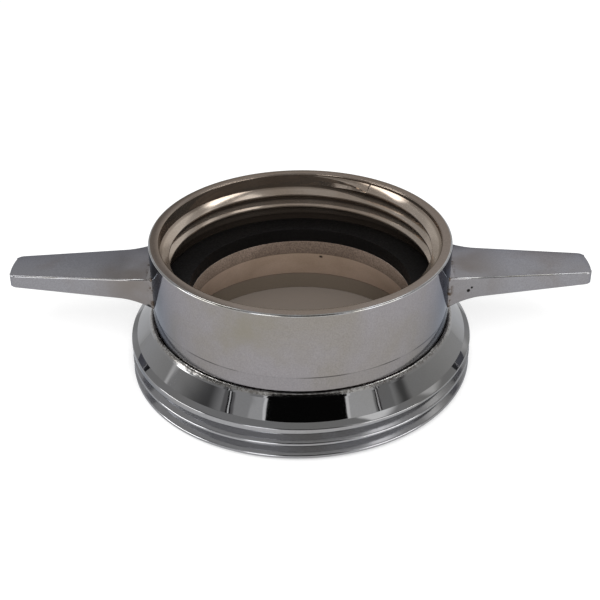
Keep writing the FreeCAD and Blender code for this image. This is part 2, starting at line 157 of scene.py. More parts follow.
def draw_section(name, corners):
    """A closed outline in the XZ plane through corners of (radius, height) in millimetres."""
    bpy.ops.object.select_all(action="DESELECT")
    bpy.ops.mesh.primitive_plane_add(size=MM)
    piece = bpy.context.object
    piece.name = name
    bpy.ops.object.mode_set(mode="EDIT")
    bpy.ops.mesh.merge(type="CENTER")
    here = Vector((corners[0][0] * MM, 0, corners[0][1] * MM))
    bpy.ops.transform.translate(value=here)
    for radius, height in corners[1:] + corners[:1]:
        there = Vector((radius * MM, 0, height * MM))
        bpy.ops.mesh.extrude_vertices_move(TRANSFORM_OT_translate={"value": there - here})
        here = there
    bpy.ops.mesh.select_all(action="SELECT")
    bpy.ops.mesh.remove_doubles(threshold=1e-6)
    bpy.ops.object.mode_set(mode="OBJECT")
    return piece


def turn_section(piece):
    """Turns a section once round and closes the seam."""
    screw = piece.modifiers.new("turned", "SCREW")
    screw.axis = "Z"
    screw.angle = 2 * math.pi
    screw.steps = screw.render_steps = SEGMENTS
    only(piece)
    bpy.ops.object.modifier_apply(modifier=screw.name)
    bpy.ops.object.mode_set(mode="EDIT")
    bpy.ops.mesh.select_all(action="SELECT")
    bpy.ops.mesh.remove_doubles(threshold=1e-6)
    bpy.ops.mesh.normals_make_consistent(inside=False)
    bpy.ops.object.mode_set(mode="OBJECT")


def describe(piece):
    """A piece's faces, open edges and volume, in words. A volume below zero means it is inside out."""
    mesh = bmesh.new()
    mesh.from_mesh(piece.data)
    loose = sum(1 for edge in mesh.edges if len(edge.link_faces) != 2)
    volume = mesh.calc_volume(signed=True) / MM ** 3
    words = f"{piece.name}: {len(mesh.faces)} faces, {loose} open edges, {volume:.0f} mm3"
    mesh.free()
    return words


# %% [markdown]
# ## Helpers: screw lines
#
# A thread is a section that climbs as it turns. The Screw modifier does that exactly: the angle is
# the turns, and the offset is the pitch times the turns. The swept tube is closed at both ends, so
# that it can be cut from, or joined to, a turned piece.

# %% Sweep a section along a thread
def sweep_thread(piece, turns, end_angle, end_height):
    """Winds a section up to (end_angle, end_height); the section was drawn about height zero."""
    screw = piece.modifiers.new("thread", "SCREW")
    screw.axis = "Z"
    screw.angle = 2 * math.pi * turns
    screw.screw_offset = THREAD_PITCH * turns * MM
    screw.steps = screw.render_steps = round(SEGMENTS * turns)
    screw.use_smooth_shade = False
    only(piece)
    bpy.ops.object.modifier_apply(modifier=screw.name)
    piece.rotation_euler[2] = end_angle - 2 * math.pi * turns
    piece.location.z = (end_height - THREAD_PITCH * turns) * MM
    bpy.ops.object.transform_apply(location=True, rotation=True, scale=True)


def close_ends(piece):
    """Caps a swept tube and turns its faces outwards."""
    only(piece)
    bpy.ops.object.mode_set(mode="EDIT")
    bpy.ops.mesh.select_all(action="SELECT")
    bpy.ops.mesh.fill_holes(sides=0)
    bpy.ops.mesh.select_all(action="SELECT")
    bpy.ops.mesh.normals_make_consistent(inside=False)
    bpy.ops.object.mode_set(mode="OBJECT")


def combine(piece, other, operation):
    """Cuts another piece from this one, or joins it on, and removes the other."""
    boolean = piece.modifiers.new(operation.lower(), "BOOLEAN")
    boolean.operation = operation
    boolean.object = other
    boolean.solver = "MANIFOLD"
    only(piece)
    bpy.ops.object.modifier_apply(modifier=boolean.name)
    bpy.data.objects.remove(other)


# %% [markdown]
# ## The body's blank
#
# The body is cast and then turned: a flange for the thread, a bright neck cone, a shoulder, and the
# sleeve inside the collar. Its waterway narrows to a throat and opens again in a smooth flare. The
# ball race runs round the sleeve; nobody sees it here, but the piece is complete without the CAD
# solid that it replaces.

# %% The ball race's section
def race_side(side, reach):
    """Half of the eight-sided race, as corners beyond a wall on one side (-1 in, +1 out)."""
    near = reach * math.tan(math.radians(22.5))
    return [
        (RACE_RADIUS + side * near, RACE_HEIGHT - reach),
        (RACE_RADIUS + side * reach, RACE_HEIGHT - near),
        (RACE_RADIUS + side * reach, RACE_HEIGHT + near),
        (RACE_RADIUS + side * near, RACE_HEIGHT + reach),
    ]


# %% Turn the body's blank
FLANGE_HEIGHT = 16.4
FLANGE_CHAMFER = 1.0
CONE_FOOT = (76.8, 18.0)
CONE_TOP = (71.0, 25.0)
SHOULDER_HEIGHT = 26.6
BEAD = [(70.0, 26.4), (69.7, 26.72), (69.4, 26.9), (69.1, 27.02), (68.85, 27.04), (68.75, 26.9)]
SLEEVE_TOP = 31.9
SLEEVE_RACE_REACH = BALL_RADIUS + 0.02

sleeve_mouth = [
    (SLEEVE_RADIUS, RACE_HEIGHT - SLEEVE_RACE_REACH), *race_side(-1, SLEEVE_RACE_REACH),
    (SLEEVE_RADIUS, RACE_HEIGHT + SLEEVE_RACE_REACH),
]
body = draw_section("body_casting", rounded([
    (BORE_RADIUS, 0), (MALE_RADIUS - FLANGE_CHAMFER, 0), (MALE_RADIUS, FLANGE_CHAMFER),
    (MALE_RADIUS, FLANGE_HEIGHT), CONE_FOOT, CONE_TOP, *BEAD, (SLEEVE_RADIUS, SHOULDER_HEIGHT),
    *sleeve_mouth, (SLEEVE_RADIUS, SLEEVE_TOP), (THROAT_RADIUS, SLEEVE_TOP),
    (THROAT_RADIUS - 0.5, THROAT_FOOT), (BORE_RADIUS, BORE_TOP),
], {
    (MALE_RADIUS, FLANGE_HEIGHT): 0.7, CONE_FOOT: 0.5, CONE_TOP: 0.25, (BORE_RADIUS, 0): 0.3,
    (THROAT_RADIUS, SLEEVE_TOP): 0.3, (BORE_RADIUS, BORE_TOP): 1.0,
}))
print("body section:", len(body.data.vertices), "corners")
turn_section(body)
print(describe(body))

# %% [markdown]
# ## A rough bead along the shoulder
#
# Where the polishing wheel stopped, the plating has built up in a thin, broken bead along the edge of
# the shoulder, just under the collar. It was turned with the blank. Small random moves of its
# vertices, the same on every run, break it up. They go down more than up, and only outwards, so that
# the bead stays clear of the collar.

# %% Break up the bead
BEAD_ROUGHNESS = 0.1
random.seed(7)
for vertex in body.data.vertices:
    radius, height = math.hypot(vertex.co.x, vertex.co.y) / MM, vertex.co.z / MM
    if 68.84 < radius < 69.95 and 26.45 < height < 27.2:
        vertex.co.z += (random.random() - 0.6) * BEAD_ROUGHNESS * MM
        push = 1 + random.random() * BEAD_ROUGHNESS / radius
        vertex.co.x *= push
        vertex.co.y *= push
print("bead roughened by", BEAD_ROUGHNESS, "mm")

# %% [markdown]
# ## The male thread
#
# The thread is cut, not added: a cutter with the groove's section climbs 2.6 turns and then backs
# out through the flange's rim over a tenth of a turn. Plating and buffing have rounded the crests, so
# the cutter flares in an arc at its mouth, and the groove's root has small fillets. These curves
# gather the whole studio into the thin light and dark lines that make a thread look like metal.

# %% Cut the male thread
GROOVE_TURNS = 2.584
RUNOUT_ANGLE = math.radians(36)
RUNOUT_START = math.radians(10)
GROOVE_TOP = 13.53
GROOVE_ROOT_HALF = 0.45
CREST_ROUND = 1.0
ROOT_ROUND = 0.5
CUTTER_CLEAR = 0.02
CUTTER_BACK = MALE_RADIUS + 1.5
cutter_depth = MALE_RADIUS - MALE_ROOT_RADIUS
mouth_radius = MALE_RADIUS + CUTTER_CLEAR
half_mouth = GROOVE_ROOT_HALF + (mouth_radius - MALE_ROOT_RADIUS) * FLANK_SLOPE
half_flare = half_mouth + CREST_ROUND * FLANK_SLOPE + CUTTER_CLEAR
lower_mouth, upper_mouth = (mouth_radius, -half_mouth), (mouth_radius, half_mouth)
lower_root, upper_root = (MALE_ROOT_RADIUS, -GROOVE_ROOT_HALF), (MALE_ROOT_RADIUS, GROOVE_ROOT_HALF)

cutter = draw_section("groove_cutter", rounded([
    lower_root, lower_mouth, (mouth_radius, -half_flare), (CUTTER_BACK, -half_flare),
    (CUTTER_BACK, half_flare), (mouth_radius, half_flare), upper_mouth, upper_root,
], {
    lower_mouth: CREST_ROUND, upper_mouth: CREST_ROUND, lower_root: ROOT_ROUND, upper_root: ROOT_ROUND,
}, steps=6))
corner_count = len(cutter.data.vertices)
sweep_turns = GROOVE_TURNS + RUNOUT_ANGLE / (2 * math.pi)
sweep_thread(
    cutter, sweep_turns, RUNOUT_START + RUNOUT_ANGLE,
    GROOVE_TOP + THREAD_PITCH * RUNOUT_ANGLE / (2 * math.pi),
)
step_count = len(cutter.data.vertices) // corner_count
for vertex in cutter.data.vertices:
    travelled = (vertex.index // corner_count) / (step_count - 1) * 2 * math.pi * sweep_turns
    beyond = travelled - 2 * math.pi * GROOVE_TURNS
    if beyond > 0:
        radius = math.hypot(vertex.co.x, vertex.co.y)
        pulled = radius + beyond / RUNOUT_ANGLE * cutter_depth * MM
        vertex.co.x *= pulled / radius
        vertex.co.y *= pulled / radius
close_ends(cutter)
print(describe(cutter))
combine(body, cutter, "DIFFERENCE")
print(describe(body))

# %% [markdown]
# ## The collar's ring
#
# The collar is one casting too. Its ring has a pocket for the gasket, a relief behind the thread and
# a skirt that hangs on the race.

# %% Turn the collar's ring
RELIEF_RADIUS = 64.45
RELIEF_TOP = 41.75
COLLAR_RACE_REACH = BALL_RADIUS + 0.3
LIP_ROUND = 0.8

skirt_mouth = [
    (SKIRT_RADIUS, RACE_HEIGHT - COLLAR_RACE_REACH), *race_side(1, COLLAR_RACE_REACH),
    (SKIRT_RADIUS, RACE_HEIGHT + COLLAR_RACE_REACH),
]
collar = draw_section("collar_casting", rounded([
    (SKIRT_RADIUS, COLLAR_BOTTOM), (COLLAR_RADIUS, COLLAR_BOTTOM), (COLLAR_RADIUS, COLLAR_TOP),
    (FEMALE_ROOT_RADIUS, COLLAR_TOP), (FEMALE_ROOT_RADIUS, RELIEF_TOP), (RELIEF_RADIUS, RELIEF_TOP),
    (RELIEF_RADIUS, GASKET_SEAT), (SKIRT_RADIUS, GASKET_SEAT), *skirt_mouth[::-1],
], {
    (COLLAR_RADIUS, COLLAR_TOP): LIP_ROUND, (FEMALE_ROOT_RADIUS, COLLAR_TOP): 0.7,
    (COLLAR_RADIUS, COLLAR_BOTTOM): 0.3,
}, steps=6))
turn_section(collar)
print(describe(collar))

# %% [markdown]
# ## The female thread
#
# The ridge starts at the back and winds down to the right. Its first 33 degrees are milled back
# along a circle that is off the axis, so the ridge grows out of the wall in a long curve. On the
# mesh this means: over that stretch the crest's radius follows the circle, and the crest is as wide
# as the flanks are apart at that radius.

# %% Wind the female thread
RIDGE_TURNS = 2.406
RIDGE_START = math.radians(90)
RIDGE_TOP = 60.5
ENTRY_ANGLE = math.radians(33)
CREST_HALF = 0.4
CREST_BREAK = 0.15
WALL_OVERLAP = 0.25
ENTRY_OFFSET = (FEMALE_ROOT_RADIUS ** 2 - FEMALE_CREST_RADIUS ** 2) / (
    2 * (FEMALE_ROOT_RADIUS - FEMALE_CREST_RADIUS * math.cos(ENTRY_ANGLE))
)
ENTRY_RADIUS = FEMALE_ROOT_RADIUS - ENTRY_OFFSET


def ridge_half(radius):
    """Half of the ridge's width at a radius."""
    return CREST_HALF + (radius - FEMALE_CREST_RADIUS) * FLANK_SLOPE


def entry_radius(angle):
    """The milled circle's distance from the axis, at an angle from the thread's start."""
    across = ENTRY_OFFSET * math.sin(angle)
    return ENTRY_OFFSET * math.cos(angle) + math.sqrt(ENTRY_RADIUS ** 2 - across ** 2)


def ridge_corners(crest):
    """The ridge's six corners, with its crest at a radius."""
    shoulder = crest + CREST_BREAK
    root = FEMALE_ROOT_RADIUS + WALL_OVERLAP
    half_crest = ridge_half(crest) - CREST_BREAK * FLANK_SLOPE
    half_shoulder = ridge_half(shoulder)
    return [
        (crest, -half_crest), (shoulder, -half_shoulder), (root, -ridge_half(root)),
        (root, ridge_half(root)), (shoulder, half_shoulder), (crest, half_crest),
    ]


ridge = draw_section("ridge", ridge_corners(FEMALE_CREST_RADIUS))
corner_count = len(ridge.data.vertices)
sweep_thread(ridge, RIDGE_TURNS, RIDGE_START, RIDGE_TOP)
step_count = len(ridge.data.vertices) // corner_count
for vertex in ridge.data.vertices:
    step, corner = divmod(vertex.index, corner_count)
    from_start = (1 - step / (step_count - 1)) * 2 * math.pi * RIDGE_TURNS
    if from_start < ENTRY_ANGLE:
        crest = min(max(entry_radius(from_start), FEMALE_CREST_RADIUS), FEMALE_ROOT_RADIUS - 0.02)
        radius, height = ridge_corners(crest)[corner]
        middle = RIDGE_TOP - THREAD_PITCH * from_start / (2 * math.pi)
        flat = math.hypot(vertex.co.x, vertex.co.y)
        vertex.co.x *= radius * MM / flat
        vertex.co.y *= radius * MM / flat
        vertex.co.z = (middle + height) * MM
close_ends(ridge)
print(describe(ridge))
combine(collar, ridge, "UNION")
print(describe(collar))

# %% [markdown]
# ## The handles
#
# Each handle is a flat bar that tapers to its tip, with a round end and softly broken edges. Close to
# the ring its four faces curve out, as a cast lever does where it has to be strong. The bar starts as
# a cube. Its tip is subdivided, rounded and bowed, and the face at the root is extruded towards the
# ring in short steps, which are then drawn out along a parabola. The edges are bevelled last.

# %% Shape one handle
HANDLE_REACH = 133.2
HANDLE_ROOT = 65.0
# half width, bottom and top, at the ring and at the tip
BAR_AT_RING = (15.2, 37.6, 48.8)
BAR_AT_TIP = (9.2, 41.8, 48.0)
BAR_MIDDLE = 44.5
FLARE_LENGTH, FLARE_STEPS = 14.0, 14
FLARE_SIDE, FLARE_RISE, FLARE_DROP = 1.8, 1.4, 1.8
FLARE_START = COLLAR_RADIUS + FLARE_LENGTH
TIP_CORNER, TIP_BOW, EDGE_ROUND = 2.5, 1.0, 0.7


def bar_section(distance):
    """The bar's half width, bottom and top at a distance from the axis."""
    taper = (distance - COLLAR_RADIUS) / (HANDLE_REACH - COLLAR_RADIUS)
    bend = (max(FLARE_START - distance, 0) / FLARE_LENGTH) ** 2
    half_width, bottom, top = (
        ring + (tip - ring) * taper for ring, tip in zip(BAR_AT_RING, BAR_AT_TIP)
    )
    return half_width + FLARE_SIDE * bend, bottom - FLARE_DROP * bend, top + FLARE_RISE * bend


def place_on_section(vertex, distance):
    """Moves a corner of the bar to its section at a distance from the axis."""
    half_width, bottom, top = bar_section(distance)
    upper = vertex.co.z > BAR_MIDDLE * MM
    side = math.copysign(half_width, vertex.co.y)
    vertex.co = (distance * MM, side * MM, (top if upper else bottom) * MM)


def edit_edges():
    """Into edit mode, with edges as what is picked."""
    bpy.context.tool_settings.mesh_select_mode = (False, True, False)
    bpy.ops.object.mode_set(mode="EDIT")


def leave_edit():
    """Back to object mode, with vertices as what is picked."""
    bpy.ops.object.mode_set(mode="OBJECT")
    bpy.context.tool_settings.mesh_select_mode = (True, False, False)


def select_edges(piece, test):
    """Opens a piece with the edges selected whose two ends pass a test, and nothing else."""
    only(piece)
    mesh = piece.data
    for part in (*mesh.vertices, *mesh.edges, *mesh.polygons):
        part.select = False
    for edge in mesh.edges:
        ends = [mesh.vertices[index].co / MM for index in edge.vertices]
        if test(*ends):
            edge.select = True
            for index in edge.vertices:
                mesh.vertices[index].select = True
    edit_edges()


def at_tip(*ends):
    """Whether an edge lies in the bar's end face."""
    return min(end.x for end in ends) > HANDLE_REACH - 1


bpy.ops.object.select_all(action="DESELECT")
bpy.ops.mesh.primitive_cube_add(size=2)
handle = bpy.context.object
handle.name = "handle"
for vertex in handle.data.vertices:
    place_on_section(vertex, HANDLE_REACH if vertex.co.x > 0 else FLARE_START)
select_edges(handle, lambda a, b: at_tip(a, b) and abs(a.y - b.y) > 1)
bpy.ops.mesh.subdivide(number_cuts=9)
leave_edit()
select_edges(
    handle, lambda a, b: at_tip(a, b) and abs(a.z - b.z) > 1 and abs(a.y) > BAR_AT_TIP[0] - 0.2,
)
bpy.ops.mesh.bevel(affect="EDGES", offset=TIP_CORNER * MM, segments=6)
leave_edit()
print(describe(handle))

# %% Draw out the flare and break the edges
select_edges(handle, lambda a, b: max(a.x, b.x) < FLARE_START + 1)
step_length = (FLARE_START - HANDLE_ROOT) / FLARE_STEPS
for step in range(FLARE_STEPS):
    bpy.ops.mesh.extrude_region_move(TRANSFORM_OT_translate={"value": (-step_length * MM, 0, 0)})
leave_edit()
for vertex in handle.data.vertices:
    distance = vertex.co.x / MM
    if distance < FLARE_START - 0.01:
        place_on_section(vertex, distance)
    elif distance > HANDLE_REACH - 2 * TIP_CORNER:
        vertex.co.x -= TIP_BOW * (vertex.co.y / (BAR_AT_TIP[0] * MM)) ** 2 * MM

only(handle)
edit_edges()
bpy.ops.mesh.select_all(action="DESELECT")
bpy.ops.mesh.edges_select_sharp(sharpness=math.radians(40))
leave_edit()
for edge in handle.data.edges:
    if max(handle.data.vertices[index].co.x for index in edge.vertices) < (HANDLE_ROOT + 0.1) * MM:
        edge.select = False
edit_edges()
bpy.ops.mesh.bevel(affect="EDGES", offset=EDGE_ROUND * MM, segments=4)
leave_edit()
print(describe(handle))

# %% Join both handles to the ring
only(handle)
bpy.ops.object.duplicate()
second_handle = bpy.context.object
second_handle.rotation_euler[2] = math.pi
bpy.ops.object.transform_apply(location=True, rotation=True, scale=True)
combine(collar, handle, "UNION")
combine(collar, second_handle, "UNION")
print(describe(collar))

# %% [markdown]
# ## The loading hole
#
# The balls go in through a small hole at the back of the skirt, which a plug closes. The plug itself
# is a CAD node, so only its hole is made here.

# %% Drill the loading hole
PLUG_ANGLE = math.radians(112)
PLUG_RADIUS = 1.8375
PLUG_DISTANCE = 66.0
bpy.ops.object.select_all(action="DESELECT")
bpy.ops.mesh.primitive_cylinder_add(
    vertices=48, radius=PLUG_RADIUS * MM, depth=9 * MM, rotation=(0, math.pi / 2, PLUG_ANGLE),
    location=(
        PLUG_DISTANCE * math.cos(PLUG_ANGLE) * MM, PLUG_DISTANCE * math.sin(PLUG_ANGLE) * MM,
        RACE_HEIGHT * MM,
    ),
)
drill = bpy.context.object
combine(collar, drill, "DIFFERENCE")
print(describe(collar))

# %% [markdown]
# ## Smooth shading
#
# Turned and swept faces are shaded smooth, but the corner between a crest and a flank stays sharp.
# Smoothing by angle tells the two apart.

# %% Shade and hang the castings on their bodies
for piece in (body, collar):
    only(piece)
    bpy.ops.object.shade_smooth_by_angle(angle=math.radians(32))

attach(body, "body")
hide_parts("adapter_body")
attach(collar, "collar")
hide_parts("swivel_collar")
print("smooth:", body.name, "and", collar.name)

# %% [markdown]
# ## Helpers: nodes
#
# Every finish below is a small tree of nodes. Adding a node, setting it and wiring it is one job done
# many times, so it gets one helper. A value that is a socket is linked, and any other value is set.
# The other helpers are short names for the nodes that are used most.

# %% Add nodes
def put(tree, kind, sockets=None, **settings):
    """Adds a node with its settings, and fills or links its inputs."""
    node = tree.nodes.new(kind)
    for setting, value in settings.items():
        setattr(node, setting, value)
    for socket, value in (sockets or {}).items():
        if isinstance(value, bpy.types.NodeSocket):
            tree.links.new(value, node.inputs[socket])
        else:
            node.inputs[socket].default_value = value
    return node


def use_group(tree, group, sockets=None):
    """Places a node group in a tree."""
    return put(tree, "ShaderNodeGroup", sockets, node_tree=group)


def calc(tree, operation, *values):
    """A sum on one to three values."""
    return put(tree, "ShaderNodeMath", dict(enumerate(values)), operation=operation).outputs[0]


def fade(tree, value, start, end, low=0.0, high=1.0):
    """A soft step from low at start to high at end."""
    return put(tree, "ShaderNodeMapRange", {
        "Value": value, "From Min": start, "From Max": end, "To Min": low, "To Max": high,
    }, interpolation_type="SMOOTHSTEP").outputs[0]


def blend(tree, share, first, second):
    """The first colour, with a share of the second."""
    return put(tree, "ShaderNodeMix", {0: share, 6: first, 7: second}, data_type="RGBA").outputs[2]


def noise(tree, scale, detail):
    """Plain noise in the piece's own coordinates."""
    return put(tree, "ShaderNodeTexNoise", {
        "Vector": put(tree, "ShaderNodeTexCoord").outputs["Object"], "Scale": scale, "Detail": detail,
    }).outputs[0]


def distance_to(tree, place):
    """How far each point is from one place on the piece, in metres."""
    return put(tree, "ShaderNodeVectorMath", {
        0: put(tree, "ShaderNodeTexCoord").outputs["Object"], 1: place,
    }, operation="DISTANCE").outputs["Value"]


def start_group(name, inputs, outputs):
    """An empty node group with named sockets: (name, "Float" or "Color", default)."""
    group = bpy.data.node_groups.new(name, "ShaderNodeTree")
    for label, kind, default in inputs:
        socket = group.interface.new_socket(name=label, in_out="INPUT", socket_type="NodeSocket" + kind)
        socket.default_value = default
    for label, kind in outputs:
        group.interface.new_socket(name=label, in_out="OUTPUT", socket_type="NodeSocket" + kind)
    return group, group.nodes.new("NodeGroupInput"), group.nodes.new("NodeGroupOutput")


# %% [markdown]
# ## Shared effects
#
# Five effects turn up in several finishes. Each is a node group, so that it is built once and then
# used with other values:
#
# - **lathe_place** says where a point is on a turned piece: its distance from the axis, its height,
#   and its direction around. The other groups and the masks start from it.
# - **machining_lines** are the fine rings that a lathe tool leaves under the plating.
# - **plate_grain** is the fine speckle of the plating, with slow clouds for uneven polish.
# - **casting_pits** are small holes that the casting had before it was plated.
# - **age_tint** lets an older, browner shade come through in patches.

# %% Group: lathe_place
lathe_place, _, result = start_group("lathe_place", [], [
    ("Radius", "Float"), ("Height", "Float"), ("Around", "Vector"),
])
place = put(lathe_place, "ShaderNodeTexCoord")
split = put(lathe_place, "ShaderNodeSeparateXYZ", {0: place.outputs["Object"]})
radius = calc(lathe_place, "SQRT", calc(
    lathe_place, "ADD", calc(lathe_place, "POWER", split.outputs[0], 2.0),
    calc(lathe_place, "POWER", split.outputs[1], 2.0),
))
around = put(lathe_place, "ShaderNodeCombineXYZ", {
    0: calc(lathe_place, "DIVIDE", split.outputs[0], radius),
    1: calc(lathe_place, "DIVIDE", split.outputs[1], radius),
})
lathe_place.links.new(radius, result.inputs["Radius"])
lathe_place.links.new(split.outputs[2], result.inputs["Height"])
lathe_place.links.new(around.outputs[0], result.inputs["Around"])
print("group", lathe_place.name)

# %% Group: machining_lines
machining_lines, given, result = start_group("machining_lines", [
    ("Lines", "Float", 2000.0), ("Wander", "Float", 1.0),
], [("Height", "Float")])
spot = use_group(machining_lines, lathe_place)
along = calc(machining_lines, "MULTIPLY_ADD", spot.outputs["Radius"], 0.6, spot.outputs["Height"])
lengthwise = put(machining_lines, "ShaderNodeCombineXYZ", {
    2: calc(machining_lines, "MULTIPLY", along, given.outputs["Lines"]),
})
turned = put(machining_lines, "ShaderNodeVectorMath", {
    0: spot.outputs["Around"], "Scale": given.outputs["Wander"],
}, operation="SCALE")
rings = put(machining_lines, "ShaderNodeTexNoise", {
    "Vector": put(machining_lines, "ShaderNodeVectorMath", {
        0: turned.outputs[0], 1: lengthwise.outputs[0],
    }, operation="ADD").outputs[0],
    "Scale": 1.0, "Detail": 3.0, "Roughness": 0.6,
})
machining_lines.links.new(rings.outputs[0], result.inputs["Height"])
print("group", machining_lines.name)

# %% Group: plate_grain
plate_grain, given, result = start_group("plate_grain", [
    ("Fineness", "Float", 1200.0),
], [("Grain", "Float"), ("Cloud", "Float")])
place = put(plate_grain, "ShaderNodeTexCoord")
grain = put(plate_grain, "ShaderNodeTexNoise", {
    "Vector": place.outputs["Object"], "Scale": given.outputs["Fineness"], "Detail": 3.0,
    "Roughness": 0.65,
})
cloud = put(plate_grain, "ShaderNodeTexNoise", {
    "Vector": place.outputs["Object"],
    "Scale": calc(plate_grain, "DIVIDE", given.outputs["Fineness"], 40.0),
    "Detail": 4.0, "Roughness": 0.6,
})
plate_grain.links.new(grain.outputs[0], result.inputs["Grain"])
plate_grain.links.new(cloud.outputs[0], result.inputs["Cloud"])
print("group", plate_grain.name)

# %% Group: casting_pits
casting_pits, given, result = start_group("casting_pits", [
    ("Density", "Float", 300.0), ("Share", "Float", 0.1),
], [("Pits", "Float")])
place = put(casting_pits, "ShaderNodeTexCoord")
cells = put(casting_pits, "ShaderNodeTexVoronoi", {
    "Vector": place.outputs["Object"], "Scale": given.outputs["Density"],
})
chosen = fade(
    casting_pits, put(casting_pits, "ShaderNodeSeparateColor", {0: cells.outputs["Color"]}).outputs[0],
    given.outputs["Share"], calc(casting_pits, "SUBTRACT", given.outputs["Share"], 0.01),
)
round_holes = fade(casting_pits, cells.outputs["Distance"], 0.28, 0.12)
casting_pits.links.new(calc(casting_pits, "MULTIPLY", chosen, round_holes), result.inputs["Pits"])
print("group", casting_pits.name)

# %% Group: age_tint
age_tint, given, result = start_group("age_tint", [
    ("Clean", "Color", (0.3, 0.3, 0.3, 1)), ("Aged", "Color", (0.2, 0.18, 0.15, 1)),
    ("Patches", "Float", 25.0), ("Spread", "Float", 0.5),
], [("Color", "Color")])
place = put(age_tint, "ShaderNodeTexCoord")
patches = put(age_tint, "ShaderNodeTexNoise", {
    "Vector": place.outputs["Object"], "Scale": given.outputs["Patches"], "Detail": 5.0,
    "Roughness": 0.55, "Distortion": 0.4,
})
share = fade(
    age_tint, patches.outputs[0], calc(age_tint, "SUBTRACT", 0.85, given.outputs["Spread"]),
    calc(age_tint, "SUBTRACT", 1.15, given.outputs["Spread"]),
)
age_tint.links.new(
    blend(age_tint, share, given.outputs["Clean"], given.outputs["Aged"]), result.inputs["Color"],
)
print("group", age_tint.name)

# %% [markdown]
# ## One recipe for plated metal
#
# All metal faces have the same build-up: a colour with aged patches and a little speckle, a roughness
# that drifts with the polish, and a relief of grain and machining lines. Heights are in metres, so a
# bump of two thousandths of a millimetre is written as such. The numbers that are the same all over,
# such as the darker edge tint, are set on the shader's own sockets.

# %% Plated metal
MICRON = 1e-6


def plated(name, clean, aged, spread, roughness, drift, speckle, grain, lines, fineness=1200.0,
           patches=25.0, line_count=2000.0, edge=(0.75, 0.76, 0.78), metallic=1.0):
    """A plated metal; returns its material, its tree and the values that later steps may change."""
    material = bpy.data.materials.new(name)
    material.use_nodes = True
    tree = material.node_tree
    shader = tree.nodes["Principled BSDF"]
    shader.inputs["Metallic"].default_value = metallic
    shader.inputs["Specular Tint"].default_value = (*edge, 1)
    texture = use_group(tree, plate_grain, {"Fineness": fineness})
    tint = use_group(tree, age_tint, {
        "Clean": (*clean, 1), "Aged": (*aged, 1), "Patches": patches, "Spread": spread,
    })
    level = fade(tree, texture.outputs["Grain"], 0.3, 0.7, 1 - speckle, 1 + speckle)
    speckled = put(tree, "ShaderNodeVectorMath", {0: tint.outputs[0], "Scale": level}, operation="SCALE")
    rough = fade(tree, texture.outputs["Cloud"], 0.35, 0.65, roughness - drift, roughness + drift)
    turned = use_group(tree, machining_lines, {"Lines": line_count})
    height = calc(
        tree, "MULTIPLY_ADD", turned.outputs[0], lines * MICRON,
        calc(tree, "MULTIPLY", texture.outputs["Grain"], grain * MICRON),
    )
    values = {"colour": speckled.outputs[0], "roughness": rough, "height": height}
    return material, tree, values


def lay_over(tree, values, share, colour):
    """Puts another colour over a finish's own, by a share from zero to one."""
    values["colour"] = blend(tree, share, values["colour"], (*colour, 1))


def finish_metal(tree, values):
    """Wires the colour, the roughness and the relief into the shader."""
    shader = tree.nodes["Principled BSDF"]
    relief = put(tree, "ShaderNodeBump", {"Height": values["height"], "Distance": 1.0})
    tree.links.new(values["colour"], shader.inputs["Base Color"])
    tree.links.new(values["roughness"], shader.inputs["Roughness"])
    tree.links.new(relief.outputs[0], shader.inputs["Normal"])


# %% [markdown]
# ## The collar's finishes
#
# The ring's wall is satin: it was turned and plated without a polish, so it shows the pale floor as an
# even grey. A thin dark line runs round it a little above its lower edge, with a band of painted shade
# under it for the reflected shadow of the adapter, and a faint yellow stain sits left of the middle.
# The handles have the same plating on a cast face. They grow darker and browner towards the ring, have
# brown marks where they meet it, and the right one has two pits. Inside the collar the plating is thin
# and the brass warms it. The thread's rings show, its roots are darkened with painted shade, and below
# the thread the inside is painted almost black as shade.

# %% Satin wall with a thin dark line and painted shade below it
LINE_HEIGHT = 0.0342
STAIN_PLACE = (-0.022, -0.065, 0.0545)

ring_metal, tree, look = plated(
    "ring_satin", (0.236, 0.224, 0.231), (0.219, 0.203, 0.186), 0.45, 0.09, 0.025, 0.09, 1.0, 0.5,
    fineness=1600.0, edge=(0.5, 0.54, 0.6),
)
spot = use_group(tree, lathe_place)
stain = calc(tree, "MULTIPLY_ADD", noise(tree, 70.0, 3.0), 0.028, distance_to(tree, STAIN_PLACE))
lay_over(tree, look, fade(tree, stain, 0.033, 0.016, 0.0, 0.7), (0.205, 0.188, 0.15))
distance = calc(tree, "ABSOLUTE", calc(tree, "SUBTRACT", spot.outputs["Height"], LINE_HEIGHT))
broken = put(tree, "ShaderNodeTexNoise", {
    "Vector": spot.outputs["Around"], "Scale": 2.2, "Detail": 2.0,
})
# A thin dark line, broken in places, runs round the wall.
thin_dark_line = calc(
    tree, "MULTIPLY", fade(tree, distance, 0.00035, 0.0001),
    fade(tree, broken.outputs[0], 0.42, 0.56, 0.1, 0.9),
)
# Painted shade: a slightly darker band under the line stands for the adapter's shadow on the floor, as
# the wall reflects it.
below = fade(tree, spot.outputs["Height"], LINE_HEIGHT + 0.0003, LINE_HEIGHT - 0.0003, 0.0, 0.09)
lay_over(tree, look, below, (0.1, 0.1, 0.105))
lay_over(tree, look, thin_dark_line, (0.05, 0.045, 0.045))
finish_metal(tree, look)
print("finish", ring_metal.name)

# %% Cast handles
# place and radius, in metres
HANDLE_PITS = [((0.0756, -0.0147, 0.0425), 0.0007), ((0.0772, -0.0150, 0.0439), 0.0005)]

